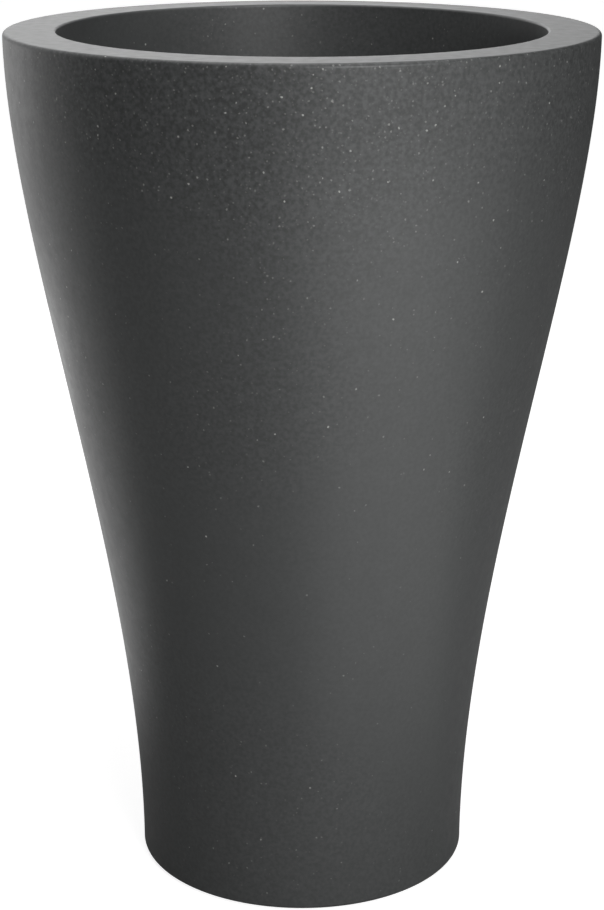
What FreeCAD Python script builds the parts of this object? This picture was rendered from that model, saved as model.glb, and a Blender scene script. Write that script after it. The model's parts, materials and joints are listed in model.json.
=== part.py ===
import FreeCAD, Part
import math
import os

# Tall floor planter of ogee outline: a moulded vase with a broad flat rim bonded on, a screw drain in its base,
# and a lift-out inner pot that hangs on a ledge below the rim.
# Millimetres, +Z up, origin on the floor at the centre of the footprint.

# Vase
planter_height = 900.0
rim_radius = 300.0
base_radius = 177.5
shoulder_drop = 214.0
waist_rise = 326.0
wall = 7.0
floor_thickness = 9.0
rim_width = 53.0
rim_edge = 4.0
lip_edge = 2.5
foot_edge = 4.0
heel_radius = 12.0
foot_ring_width = 46.0
floor_lift = 8.0

# Collar under the rim, with the ledge that carries the inner pot
collar_depth = 85.0
collar_draft = 1.5
ledge_width = 14.0

# Rubber glides under the base
glide_count = 6
glide_radius = 15.0
glide_recess = 2.0
glide_stand = 3.0
glide_clearance = 0.2
glide_edge = 1.0

# Screw drain in the middle of the base
bush_bore = 18.0
bush_wall = 5.0
bush_flange_width = 10.0
bush_flange_thickness = 3.0
bond_gap = 0.1
thread_clearance = 0.1
seal_thickness = 2.5
seal_width = 7.0
seal_bore_gap = 0.3
plug_head_width = 8.0
plug_head_thickness = 6.0
plug_edge = 1.5
grip_width = 10.0
grip_height = 14.0
grip_end_gap = 3.0

# Inner pot
pot_wall = 3.0
pot_floor_thickness = 4.0
pot_depth = 380.0
pot_side_gap = 32.0
pot_neck_gap = 2.0
pot_flange_gap = 2.0
pot_flange_thickness = 4.0
pot_flange_edge = 1.5
pot_foot_edge = 10.0
pot_heel_radius = 7.0
drain_hole_count = 8
drain_hole_radius = 5.0
drain_hole_circle = 100.0

# Swing handles of the inner pot, one each side
handle_drop = 26.0
handle_span = 110.0
handle_length = 60.0
handle_bend = 18.0
handle_bar_radius = 4.0
handle_wall_gap = 4.0
pivot_radius = 3.0
pivot_clearance = 0.06
eye_radius = 7.0
ear_radius = 8.0
ear_thickness = 8.0
ear_side_gap = 0.5

# Drain grid standing on the floor of the inner pot
grid_rise = 30.0
grid_thickness = 3.0
grid_edge_gap = 2.0
grid_margin = 6.0
grid_hole_radius = 4.5
grid_hole_pitch = 30.0
grid_first_ring_holes = 6
grid_leg_count = 6
grid_leg_ring = 4
grid_leg_radius = 10.0
grid_leg_wall = 2.5

# Heights
foot_z = glide_stand
ring_floor_z = foot_z + floor_thickness
mid_under_z = foot_z + floor_lift
mid_floor_z = mid_under_z + floor_thickness
wall_start_z = foot_z + foot_edge
wall_end_z = planter_height - rim_edge
rim_under_z = planter_height - wall
ledge_z = planter_height - collar_depth
bush_top_z = mid_floor_z + bush_flange_thickness
plug_head_z = bush_top_z + seal_thickness
pot_under_z = ledge_z - pot_depth
pot_floor_z = pot_under_z + pot_floor_thickness
pot_top_z = ledge_z + pot_flange_thickness
pivot_z = pot_top_z - handle_drop
grid_under_z = pot_floor_z + grid_rise
grid_top_z = grid_under_z + grid_thickness

# Radii
lip_radius = rim_radius - rim_width
collar_foot_radius = lip_radius - collar_depth * math.tan(math.radians(collar_draft))
ledge_hole_radius = collar_foot_radius - ledge_width
foot_ring_inner = base_radius - foot_ring_width
glide_circle = (foot_ring_inner + base_radius - foot_edge) / 2
bush_radius = bush_bore + bush_wall
bush_flange_radius = bush_radius + bush_flange_width
plug_head_radius = bush_bore + plug_head_width
pot_neck_radius = ledge_hole_radius - pot_neck_gap
pot_flange_radius = collar_foot_radius - pot_flange_gap

UP = FreeCAD.Vector(0, 0, 1)
ACROSS = FreeCAD.Vector(1, 0, 0)
ORIGIN = FreeCAD.Vector(0, 0, 0)
HALVINGS = 50
TOLERANCE = 1e-6


class Outline:
    """A closed outline in the half-plane X >= 0, Y = 0, drawn edge by edge as (radius, height)."""

    def __init__(self, radius, height):
        self.start = FreeCAD.Vector(radius, 0, height)
        self.pen = self.start
        self.edges = []

    def line(self, radius, height):
        end = FreeCAD.Vector(radius, 0, height)
        self.edges.append(Part.LineSegment(self.pen, end).toShape())
        self.pen = end

    def quarter(self, corner_radius, corner_height, radius, height):
        """A quarter round from the pen to (radius, height) that cuts off the given corner."""
        corner = FreeCAD.Vector(corner_radius, 0, corner_height)
        end = FreeCAD.Vector(radius, 0, height)
        centre = self.pen + end - corner
        middle = centre + (corner - centre).normalize() * (end - centre).Length
        self.edges.append(Part.Arc(self.pen, middle, end).toShape())
        self.pen = end

    def curve(self, curve, radius, height):
        """A ready curve whose far end is (radius, height)."""
        self.edges.append(curve.toShape())
        self.pen = FreeCAD.Vector(radius, 0, height)

    def lathe(self):
        """Closes the outline and turns it about the Z axis into one solid."""
        self.line(self.start.x, self.start.z)
        return Part.Face(Part.Wire(self.edges)).revolve(ORIGIN, UP)


def vase_curve(inset):
    """The ogee of the vase wall, moved inwards by inset: upright at the base and again at the rim."""
    curve = Part.BezierCurve()
    curve.setPoles([
        FreeCAD.Vector(base_radius - inset, 0, wall_start_z),
        FreeCAD.Vector(base_radius - inset, 0, wall_start_z + waist_rise),
        FreeCAD.Vector(rim_radius - inset, 0, wall_end_z - shoulder_drop),
        FreeCAD.Vector(rim_radius - inset, 0, wall_end_z),
    ])
    return curve


def share_at_height(curve, height):
    """The parameter at which a rising curve reaches a height, found by halving."""
    low, high = 0.0, 1.0
    for _ in range(HALVINGS):
        middle = (low + high) / 2
        if curve.value(middle).z < height:
            low = middle
        else:
            high = middle
    return (low + high) / 2


def vase_inner_radius(height):
    """Radius of the vase wall's inside at a height."""
    curve = vase_curve(wall)
    return curve.value(share_at_height(curve, height)).x


def pot_radius(height):
    """Outside radius of the inner pot's straight wall at a height."""
    foot_radius = vase_inner_radius(pot_under_z) - pot_side_gap
    share = (height - pot_under_z) / pot_depth
    return foot_radius + (pot_neck_radius - foot_radius) * share


def on_circle(shape, circle, count):
    """Copies of a shape standing on the Z axis, moved out to a circle about that axis."""
    copies = []
    for index in range(count):
        angle = 2 * math.pi * index / count
        copy = shape.copy()
        copy.translate(FreeCAD.Vector(circle * math.cos(angle), circle * math.sin(angle), 0))
        copies.append(copy)
    return copies


def cylinder(radius, bottom, top):
    """An upright cylinder on the Z axis."""
    return Part.makeCylinder(radius, top - bottom, FreeCAD.Vector(0, 0, bottom))


def round_edges(shape, radius, wanted):
    """Rounds the edges for which wanted(edge) is true."""
    return shape.makeFillet(radius, [edge for edge in shape.Edges if wanted(edge)])


def at_height(edge, height):
    """True if an edge lies flat at a height."""
    box = edge.BoundBox
    return abs(box.ZMin - height) < TOLERANCE and abs(box.ZMax - height) < TOLERANCE


def planter_shell():
    """The vase from its foot ring up to the underside of the rim, with recesses for the glides."""
    bush_hole = bush_radius + bond_gap
    outer = vase_curve(0)
    top = share_at_height(outer, rim_under_z)
    outer_top = outer.value(top)
    outer.segment(0, top)
    heel_z = ring_floor_z + heel_radius
    inner = vase_curve(wall)
    low = share_at_height(inner, heel_z)
    high = share_at_height(inner, rim_under_z)
    heel_top = inner.value(low)
    inner_top = inner.value(high)
    inner.segment(low, high)

    outline = Outline(bush_hole, mid_under_z)
    outline.line(foot_ring_inner - floor_lift, mid_under_z)
    outline.line(foot_ring_inner, foot_z)
    outline.line(base_radius - foot_edge, foot_z)
    outline.quarter(base_radius, foot_z, base_radius, wall_start_z)
    outline.curve(outer, outer_top.x, rim_under_z)
    outline.line(inner_top.x, rim_under_z)
    outline.curve(inner, heel_top.x, heel_z)
    outline.quarter(heel_top.x, ring_floor_z, heel_top.x - heel_radius, ring_floor_z)
    outline.line(foot_ring_inner, ring_floor_z)
    outline.line(foot_ring_inner - floor_lift, mid_floor_z)
    outline.line(bush_hole, mid_floor_z)
    recess = cylinder(glide_radius + glide_clearance, 0, foot_z + glide_recess)
    return outline.lathe().cut(on_circle(recess, glide_circle, glide_count))


def rim_collar():
    """The ring bonded onto the top of the vase: flat rim, collar inside the mouth, and the pot's ledge."""
    outline = Outline(rim_radius, rim_under_z)
    outline.line(rim_radius, wall_end_z)
    outline.quarter(rim_radius, planter_height, rim_radius - rim_edge, planter_height)
    outline.line(lip_radius + lip_edge, planter_height)
    outline.quarter(lip_radius, planter_height, lip_radius, planter_height - lip_edge)
    outline.line(collar_foot_radius, ledge_z)
    outline.line(ledge_hole_radius, ledge_z)
    outline.line(ledge_hole_radius, ledge_z - wall)
    outline.line(collar_foot_radius + wall, ledge_z - wall)
    outline.line(lip_radius + wall, rim_under_z)
    return outline.lathe()


def floor_glides():
    glide = cylinder(glide_radius, 0, foot_z + glide_recess)
    glide = round_edges(glide, glide_edge, lambda edge: at_height(edge, 0))
    return Part.makeCompound(on_circle(glide, glide_circle, glide_count))


def drain_bush():
    outline = Outline(bush_bore, mid_under_z)
    outline.line(bush_radius, mid_under_z)
    outline.line(bush_radius, mid_floor_z)
    outline.line(bush_flange_radius, mid_floor_z)
    outline.line(bush_flange_radius, bush_top_z)
    outline.line(bush_bore, bush_top_z)
    return outline.lathe()


def plug_seal():
    inner = bush_bore + seal_bore_gap
    return cylinder(inner + seal_width, bush_top_z, plug_head_z).cut(cylinder(inner, bush_top_z, plug_head_z))


def drain_plug():
    head_top = plug_head_z + plug_head_thickness
    shank = cylinder(bush_bore - thread_clearance, mid_under_z, plug_head_z)
    head = cylinder(plug_head_radius, plug_head_z, head_top)
    head = round_edges(head, plug_edge, lambda edge: at_height(edge, head_top))
    grip_length = 2 * (plug_head_radius - grip_end_gap)
    corner = FreeCAD.Vector(-grip_length / 2, -grip_width / 2, head_top)
    grip = Part.makeBox(grip_length, grip_width, grip_height, corner)
    grip = round_edges(grip, plug_edge, lambda edge: not at_height(edge, head_top))
    return shank.fuse([head, grip]).removeSplitter()


def pivot_distance():
    """How far from the axis a handle turns, so that it hangs clear of the pot's tapering wall."""
    lowest_z = pivot_z - handle_length - handle_bar_radius
    half_width = handle_span / 2 + handle_bar_radius
    wall_distance = math.sqrt((pot_radius(lowest_z) - pot_wall) ** 2 - half_width ** 2)
    return wall_distance - handle_bar_radius - handle_wall_gap


def pot_body():
    """The pot's outside as a full solid, and the hollow inside it."""
    foot_radius = pot_radius(pot_under_z + pot_foot_edge)
    outside = Outline(0, pot_under_z)
    outside.line(foot_radius - pot_foot_edge, pot_under_z)
    outside.quarter(foot_radius, pot_under_z, foot_radius, pot_under_z + pot_foot_edge)
    outside.line(pot_neck_radius, ledge_z)
    outside.line(pot_flange_radius, ledge_z)
    outside.line(pot_flange_radius, pot_top_z - pot_flange_edge)
    outside.quarter(pot_flange_radius, pot_top_z, pot_flange_radius - pot_flange_edge, pot_top_z)
    outside.line(0, pot_top_z)

    heel_z = pot_floor_z + pot_heel_radius
    heel_inner = pot_radius(heel_z) - pot_wall
    neck_z = pot_top_z - pot_flange_edge
    neck_inner = pot_radius(neck_z) - pot_wall
    hollow = Outline(0, pot_floor_z)
    hollow.line(heel_inner - pot_heel_radius, pot_floor_z)
    hollow.quarter(heel_inner, pot_floor_z, heel_inner, heel_z)
    hollow.line(neck_inner, neck_z)
    hollow.quarter(neck_inner, pot_top_z, neck_inner + pot_flange_edge, pot_top_z)
    hollow.line(0, pot_top_z)
    return outside.lathe(), hollow.lathe()


def handle_ears():
    """The four ears on the pot's inside wall, each bored for one pivot of a handle."""
    distance = pivot_distance()
    along = FreeCAD.Vector(0, 1, 0)
    reach = pot_neck_radius - distance
    ears = []
    for side in (-1, 1):
        near = side * (handle_span / 2 + handle_bar_radius + ear_side_gap)
        start = min(near, near + side * ear_thickness)
        pivot = FreeCAD.Vector(distance, start, pivot_z)
        boss = Part.makeCylinder(ear_radius, ear_thickness, pivot, along)
        corner = FreeCAD.Vector(distance, start, pivot_z - ear_radius)
        arm = Part.makeBox(reach, ear_thickness, 2 * ear_radius, corner)
        bore = Part.makeCylinder(pivot_radius + pivot_clearance, ear_thickness, pivot, along)
        ear = boss.fuse(arm).removeSplitter().cut(bore)
        ears += [ear, ear.mirror(ORIGIN, ACROSS)]
    return ears


def inner_pot():
    outside, hollow = pot_body()
    ears = [ear.common(outside) for ear in handle_ears()]
    pot = outside.cut(hollow).fuse(ears).removeSplitter()
    hole = cylinder(drain_hole_radius, pot_under_z, pot_floor_z)
    return pot.cut(on_circle(hole, drain_hole_circle, drain_hole_count))


def lift_handle():
    """The handle on the +X side, hanging straight down from its pivots."""
    distance = pivot_distance()
    half = handle_span / 2
    grip_z = pivot_z - handle_length
    bend_in = handle_bend * (1 - math.sqrt(0.5))

    def at(across, height):
        return FreeCAD.Vector(distance, across, height)

    path = [
        Part.LineSegment(at(-half, pivot_z), at(-half, grip_z + handle_bend)),
        Part.Arc(at(-half, grip_z + handle_bend), at(bend_in - half, grip_z + bend_in),
                 at(handle_bend - half, grip_z)),
        Part.LineSegment(at(handle_bend - half, grip_z), at(half - handle_bend, grip_z)),
        Part.Arc(at(half - handle_bend, grip_z), at(half - bend_in, grip_z + bend_in),
                 at(half, grip_z + handle_bend)),
        Part.LineSegment(at(half, grip_z + handle_bend), at(half, pivot_z)),
    ]
    spine = Part.Wire([piece.toShape() for piece in path])
    section = Part.Wire(Part.makeCircle(handle_bar_radius, at(-half, pivot_z), UP))
    bar = spine.makePipeShell([section], True, False)

    pieces = []
    for side in (-1, 1):
        outwards = FreeCAD.Vector(0, side, 0)
        eye_start = at(side * (half - handle_bar_radius), pivot_z)
        pieces.append(Part.makeCylinder(eye_radius, 2 * handle_bar_radius, eye_start, outwards))
        pin_length = handle_bar_radius + ear_side_gap + ear_thickness
        pieces.append(Part.makeCylinder(pivot_radius, pin_length, at(side * half, pivot_z), outwards))
    return bar.fuse(pieces).removeSplitter()


def opposite_handle():
    """The same handle on the -X side."""
    return lift_handle().mirror(ORIGIN, ACROSS)


def drain_grid():
    plate_radius = pot_radius(grid_under_z) - pot_wall - grid_edge_gap
    plate = cylinder(plate_radius, grid_under_z, grid_top_z)
    hole = cylinder(grid_hole_radius, grid_under_z, grid_top_z)
    ring_count = int((plate_radius - grid_margin - grid_hole_radius) / grid_hole_pitch)
    holes = []
    for ring in range(1, ring_count + 1):
        if ring != grid_leg_ring:
            holes += on_circle(hole, ring * grid_hole_pitch, ring * grid_first_ring_holes)
    leg = cylinder(grid_leg_radius, pot_floor_z, grid_under_z)
    leg = leg.cut(cylinder(grid_leg_radius - grid_leg_wall, pot_floor_z, grid_under_z))
    legs = on_circle(leg, grid_leg_ring * grid_hole_pitch, grid_leg_count)
    return plate.cut(holes).fuse(legs).removeSplitter()


PIECES = {
    "planter_shell": planter_shell,
    "rim_collar": rim_collar,
    "floor_glides": floor_glides,
    "drain_bush": drain_bush,
    "plug_seal": plug_seal,
    "drain_plug": drain_plug,
    "inner_pot": inner_pot,
    "lift_handle_right": lift_handle,
    "lift_handle_left": opposite_handle,
    "drain_grid": drain_grid,
}


def main():
    os.makedirs("parts", exist_ok=True)
    for name, make in PIECES.items():
        make().exportStep(os.path.join("parts", name + ".step"))


if __name__ == "__main__":
    main()
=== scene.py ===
import json
import math

import bpy
from bpy.props import FloatProperty, FloatVectorProperty, IntProperty, PointerProperty
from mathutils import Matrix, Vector


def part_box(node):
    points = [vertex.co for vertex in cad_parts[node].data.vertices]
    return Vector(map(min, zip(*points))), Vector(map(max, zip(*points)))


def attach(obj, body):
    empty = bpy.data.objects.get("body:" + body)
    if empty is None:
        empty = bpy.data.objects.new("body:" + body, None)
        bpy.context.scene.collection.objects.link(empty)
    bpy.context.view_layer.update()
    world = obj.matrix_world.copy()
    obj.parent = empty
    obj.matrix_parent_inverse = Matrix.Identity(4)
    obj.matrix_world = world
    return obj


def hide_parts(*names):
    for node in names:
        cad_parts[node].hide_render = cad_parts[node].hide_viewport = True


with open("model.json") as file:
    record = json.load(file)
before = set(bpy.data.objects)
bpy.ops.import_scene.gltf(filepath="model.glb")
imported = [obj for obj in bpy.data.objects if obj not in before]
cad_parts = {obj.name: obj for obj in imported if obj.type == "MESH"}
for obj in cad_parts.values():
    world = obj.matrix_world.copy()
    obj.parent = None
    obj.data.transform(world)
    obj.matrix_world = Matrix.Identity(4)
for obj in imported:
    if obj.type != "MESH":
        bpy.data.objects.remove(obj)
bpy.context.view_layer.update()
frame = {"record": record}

bl_info = {
    "name": "Tall Floor Planter",
    "version": (1, 0, 0),
    "blender": (4, 5, 0),
    "location": "View3D > Sidebar > Planter",
    "description": "Models and finishes a tall round floor planter on its construction frame",
    "category": "Object",
}

# Boxes of the construction pieces, in metres
SHELL_LOW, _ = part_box("planter_shell")
_, RIM_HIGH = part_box("rim_collar")
GLIDES_LOW, GLIDES_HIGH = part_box("floor_glides")
BUSH_LOW, BUSH_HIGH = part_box("drain_bush")
SEAL_LOW, SEAL_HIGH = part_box("plug_seal")
PLUG_LOW, PLUG_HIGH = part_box("drain_plug")
POT_LOW, POT_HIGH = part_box("inner_pot")
HANDLE_LOW, HANDLE_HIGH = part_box("lift_handle_right")
GRID_LOW, GRID_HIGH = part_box("drain_grid")

# Steps of a rounded corner, and the distance at which a flat beside it is held flat
CORNER_STEPS = 6
HOLD = 0.0006

# Points closer than this are one point
MERGE = 1e-6

FULL_TURN = 2 * math.pi
HALF_TURN = math.pi
QUARTER_TURN = math.pi / 2

# A part that is joined to another starts this far inside it, and a cut ends this far past it
SINK = 0.001

# Steps of a bevel, the least angle of an edge that is bevelled, and of one that is shaded sharp
BEVEL_STEPS = 3
BEVEL_ANGLE = math.radians(40)
SHARP_ANGLE = math.radians(35)

# Radius of a glide, which also gives the circle that the glides sit on
GLIDE_RADIUS = 0.015


class VaseSizes(bpy.types.PropertyGroup):
    """Sizes of the moulded vase."""

    height: FloatProperty(name="Height", description="Top of the rim above the floor",
                          default=RIM_HIGH.z, unit="LENGTH")
    foot: FloatProperty(name="Foot", description="Underside of the foot ring above the floor",
                        default=SHELL_LOW.z, unit="LENGTH")
    rim_radius: FloatProperty(name="Rim radius", description="Outside radius of the rim",
                              default=RIM_HIGH.x, unit="LENGTH")
    base_radius: FloatProperty(name="Base radius", description="Outside radius of the base",
                               default=0.1775, unit="LENGTH")
    shoulder_drop: FloatProperty(name="Shoulder drop",
                                 description="Pull of the ogee downwards from the rim",
                                 default=0.214, unit="LENGTH")
    waist_rise: FloatProperty(name="Waist rise", description="Pull of the ogee upwards from the base",
                              default=0.326, unit="LENGTH")
    wall: FloatProperty(name="Wall", description="Thickness of the moulding",
                        default=0.007, unit="LENGTH")
    floor: FloatProperty(name="Floor", description="Thickness of the floor",
                         default=0.009, unit="LENGTH")
    rim_width: FloatProperty(name="Rim width", description="Width of the flat rim",
                             default=0.053, unit="LENGTH")
    rim_edge: FloatProperty(name="Rim edge", description="Rounding of the rim's outer edge",
                            default=0.004, unit="LENGTH")
    lip_edge: FloatProperty(name="Lip edge", description="Rounding of the rim's inner edge",
                            default=0.0025, unit="LENGTH")
    foot_edge: FloatProperty(name="Foot edge", description="Rounding of the base's outer edge",
                             default=0.004, unit="LENGTH")
    soft_edge: FloatProperty(name="Soft edge", description="Rounding of the hidden moulded corners",
                             default=0.0015, unit="LENGTH")
    heel: FloatProperty(name="Heel", description="Inside rounding where the wall meets the floor",
                        default=0.012, unit="LENGTH")
    collar_depth: FloatProperty(name="Collar depth", description="Depth of the ledge below the rim",
                                default=0.085, unit="LENGTH")
    collar_draft: FloatProperty(name="Collar draft", description="Slope of the wall inside the mouth",
                                default=math.radians(1.5), subtype="ANGLE")
    ledge_width: FloatProperty(name="Ledge width", description="Ledge that carries the inner pot",
                               default=0.014, unit="LENGTH")
    foot_ring: FloatProperty(name="Foot ring", description="Width of the ring that the base stands on",
                             default=0.046, unit="LENGTH")
    floor_lift: FloatProperty(name="Floor lift", description="Rise of the floor inside the foot ring",
                              default=0.008, unit="LENGTH")
    drain_hole: FloatProperty(name="Drain hole", description="Radius of the hole round the drain bush",
                              default=0.0231, unit="LENGTH")
    recess_gap: FloatProperty(name="Recess gap", description="Room round a glide in its recess",
                              default=0.0002, unit="LENGTH")
    ogee_steps: IntProperty(name="Ogee steps", description="Rings along the curved wall",
                            default=72, min=8)
    segments: IntProperty(name="Segments", description="Steps round the vase", default=256, min=32)


class GlideSizes(bpy.types.PropertyGroup):
    """Sizes of the rubber glides under the base."""

    count: IntProperty(name="Count", description="Glides round the foot ring", default=6, min=3)
    radius: FloatProperty(name="Radius", description="Radius of a glide",
                          default=GLIDE_RADIUS, unit="LENGTH")
    circle: FloatProperty(name="Circle", description="Radius of the circle on which the glides sit",
                          default=GLIDES_HIGH.x - GLIDE_RADIUS, unit="LENGTH")
    edge: FloatProperty(name="Edge", description="Rounding of a glide's foot",
                        default=0.001, unit="LENGTH")
    segments: IntProperty(name="Segments", description="Steps round a glide", default=64, min=16)


class DrainSizes(bpy.types.PropertyGroup):
    """Sizes of the screw drain in the floor of the vase."""

    bore: FloatProperty(name="Bore", description="Bore of the drain bush", default=0.018, unit="LENGTH")
    bush_radius: FloatProperty(name="Bush radius",
                               description="Outside radius of the bush below its flange",
                               default=0.023, unit="LENGTH")
    bush_edge: FloatProperty(name="Bush edge", description="Rounding of the bush's flange",
                             default=0.0012, unit="LENGTH")
    flange: FloatProperty(name="Flange", description="Thickness of the bush's flange",
                          default=0.003, unit="LENGTH")
    seal_bore: FloatProperty(name="Seal bore", description="Bore of the sealing washer",
                             default=0.0183, unit="LENGTH")
    seal_edge: FloatProperty(name="Seal edge", description="Rounding of the sealing washer",
                             default=0.0008, unit="LENGTH")
    shank: FloatProperty(name="Shank", description="Radius of the plug's shank",
                         default=0.0179, unit="LENGTH")
    head: FloatProperty(name="Head", description="Thickness of the plug's head",
                        default=0.006, unit="LENGTH")
    plug_edge: FloatProperty(name="Plug edge", description="Rounding of the plug's head and grip",
                             default=0.0015, unit="LENGTH")
    grip_width: FloatProperty(name="Grip width", description="Thickness of the plug's finger grip",
                              default=0.010, unit="LENGTH")
    grip_end: FloatProperty(name="Grip end", description="Step between the grip's end and the head's edge",
                            default=0.003, unit="LENGTH")
    segments: IntProperty(name="Segments", description="Steps round the drain", default=96, min=24)


class PotSizes(bpy.types.PropertyGroup):
    """Sizes of the lift-out inner pot."""

    wall: FloatProperty(name="Wall", description="Thickness of the pot", default=0.003, unit="LENGTH")
    floor: FloatProperty(name="Floor", description="Thickness of the pot's floor",
                         default=0.004, unit="LENGTH")
    flange: FloatProperty(name="Flange", description="Thickness of the flange that hangs on the ledge",
                          default=0.004, unit="LENGTH")
    neck_radius: FloatProperty(name="Neck radius", description="Outside radius under the flange",
                               default=0.228774, unit="LENGTH")
    foot_radius: FloatProperty(name="Foot radius",
                               description="Outside radius of the wall carried to the foot",
                               default=0.188354, unit="LENGTH")
    foot_edge: FloatProperty(name="Foot edge", description="Rounding of the foot",
                             default=0.010, unit="LENGTH")
    heel: FloatProperty(name="Heel", description="Rounding inside the foot",
                        default=0.007, unit="LENGTH")
    flange_edge: FloatProperty(name="Flange edge", description="Rounding of the flange",
                               default=0.0015, unit="LENGTH")
    hole_count: IntProperty(name="Hole count", description="Drain holes in the floor", default=8, min=1)
    hole_radius: FloatProperty(name="Hole radius", description="Radius of a drain hole",
                               default=0.005, unit="LENGTH")
    hole_circle: FloatProperty(name="Hole circle", description="Radius of the circle of drain holes",
                               default=0.1, unit="LENGTH")
    ear_radius: FloatProperty(name="Ear radius", description="Rounding of an ear round its pivot",
                              default=0.008, unit="LENGTH")
    ear_thickness: FloatProperty(name="Ear thickness", description="Thickness of an ear",
                                 default=0.008, unit="LENGTH")
    ear_edge: FloatProperty(name="Ear edge", description="Rounding of an ear's edges",
                            default=0.0008, unit="LENGTH")
    pivot_bore: FloatProperty(name="Pivot bore", description="Radius of the bore in an ear",
                              default=0.00306, unit="LENGTH")
    hole_steps: IntProperty(name="Hole steps", description="Steps round a hole or bore",
                            default=32, min=8)
    ear_steps: IntProperty(name="Ear steps", description="Steps round an ear", default=48, min=12)
    segments: IntProperty(name="Segments", description="Steps round the pot", default=192, min=32)


class HandleSizes(bpy.types.PropertyGroup):
    """Sizes of the two swing handles of the inner pot."""

    bar_radius: FloatProperty(name="Bar radius", description="Radius of the handle's bar",
                              default=0.004, unit="LENGTH")
    eye_radius: FloatProperty(name="Eye radius", description="Radius of the eye at each end",
                              default=0.007, unit="LENGTH")
    eye_edge: FloatProperty(name="Eye edge", description="Rounding of an eye",
                            default=0.001, unit="LENGTH")
    pivot_radius: FloatProperty(name="Pivot radius", description="Radius of a pivot pin",
                                default=0.003, unit="LENGTH")
    span: FloatProperty(name="Span", description="Distance between the two arms",
                        default=0.110, unit="LENGTH")
    bend: FloatProperty(name="Bend", description="Bend between an arm and the grip",
                        default=0.018, unit="LENGTH")
    ear_gap: FloatProperty(name="Ear gap", description="Room between an eye and its ear",
                           default=0.0005, unit="LENGTH")
    bar_steps: IntProperty(name="Bar steps", description="Steps round the bar and a pin",
                           default=32, min=8)
    eye_steps: IntProperty(name="Eye steps", description="Steps round an eye", default=48, min=12)
    bend_steps: IntProperty(name="Bend steps", description="Steps along a bend", default=12, min=3)


class GridSizes(bpy.types.PropertyGroup):
    """Sizes of the drain grid on the floor of the inner pot."""

    thickness: FloatProperty(name="Thickness", description="Thickness of the plate",
                             default=0.003, unit="LENGTH")
    edge: FloatProperty(name="Edge", description="Rounding of the plate's rim",
                        default=0.001, unit="LENGTH")
    hole_radius: FloatProperty(name="Hole radius", description="Radius of a hole",
                               default=0.0045, unit="LENGTH")
    pitch: FloatProperty(name="Pitch", description="Distance between two rings of holes",
                         default=0.03, unit="LENGTH")
    margin: FloatProperty(name="Margin", description="Least rim outside the last ring of holes",
                          default=0.006, unit="LENGTH")
    first_ring: IntProperty(name="First ring", description="Holes in the first ring", default=6, min=3)
    leg_ring: IntProperty(name="Leg ring", description="Ring that holds the legs instead of holes",
                          default=4)
    leg_count: IntProperty(name="Leg count", description="Legs under the plate", default=6, min=3)
    leg_radius: FloatProperty(name="Leg radius", description="Outside radius of a leg",
                              default=0.010, unit="LENGTH")
    leg_wall: FloatProperty(name="Leg wall", description="Thickness of a leg",
                            default=0.0025, unit="LENGTH")
    hole_steps: IntProperty(name="Hole steps", description="Steps round a hole", default=24, min=8)
    leg_steps: IntProperty(name="Leg steps", description="Steps round a leg", default=48, min=12)
    segments: IntProperty(name="Segments", description="Steps round the plate", default=192, min=32)


class StoneFinish(bpy.types.PropertyGroup):
    """Colours and grain of the stone-effect moulding."""

    body: FloatVectorProperty(name="Body", description="Colour of the moulding", subtype="COLOR",
                              size=4, default=(0.0620, 0.0643, 0.0643, 1.0))
    speck: FloatVectorProperty(name="Speck", description="Colour of the pale grains", subtype="COLOR",
                               size=4, default=(0.45, 0.45, 0.43, 1.0))
    roughness: FloatProperty(name="Roughness", description="Satin of the skin",
                             default=0.45, subtype="FACTOR")
    gloss: FloatProperty(name="Gloss", description="Specular level of the skin",
                         default=0.40, subtype="FACTOR")
    grains_full: FloatProperty(name="Grains full", description="Height at which the grains are densest",
                               default=0.9, unit="LENGTH")
    grains_rise: FloatProperty(name="Grains rise",
                               description="Power by which the grains grow denser upwards",
                               default=3.0)
    grains_low: FloatProperty(name="Grains low", description="Share of the grains near the foot",
                              default=0.13, subtype="FACTOR")
    grains_inside: FloatProperty(name="Grains inside", description="Share of the grains inside the mouth",
                                 default=0.2, subtype="FACTOR")
    patch_size: FloatProperty(name="Patch size", description="Size of the patches of dense grains",
                              default=0.25, unit="LENGTH")
    patch_seed: FloatProperty(name="Patch seed", description="Which lie of the patches is used",
                              default=6.0)
    mottle_size: FloatProperty(name="Mottle size", description="Size of the fine mottle",
                               default=0.004, unit="LENGTH")
    mottle_depth: FloatProperty(name="Mottle depth",
                                description="How far the mottle goes from the body colour",
                                default=0.35, subtype="FACTOR")
    cloud_size: FloatProperty(name="Cloud size", description="Size of the dark clouds",
                              default=0.03, unit="LENGTH")
    cloud_share: FloatProperty(name="Cloud share", description="Share of the dark in a cloud",
                               default=0.1, subtype="FACTOR")
    sheen_size: FloatProperty(name="Sheen size", description="Size of the duller and shinier places",
                              default=0.012, unit="LENGTH")
    sheen_spread: FloatProperty(name="Sheen spread", description="Change of the roughness between them",
                                default=0.03, subtype="FACTOR")
    skin_size: FloatProperty(name="Skin size", description="Size of the skin's fine bumps",
                             default=0.0012, unit="LENGTH")
    skin_depth: FloatProperty(name="Skin depth", description="Depth of the skin's fine bumps",
                              default=0.0003, unit="LENGTH")
    skin_strength: FloatProperty(name="Skin strength", description="How clearly the bumps show",
                                 default=0.12, subtype="FACTOR")


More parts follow.
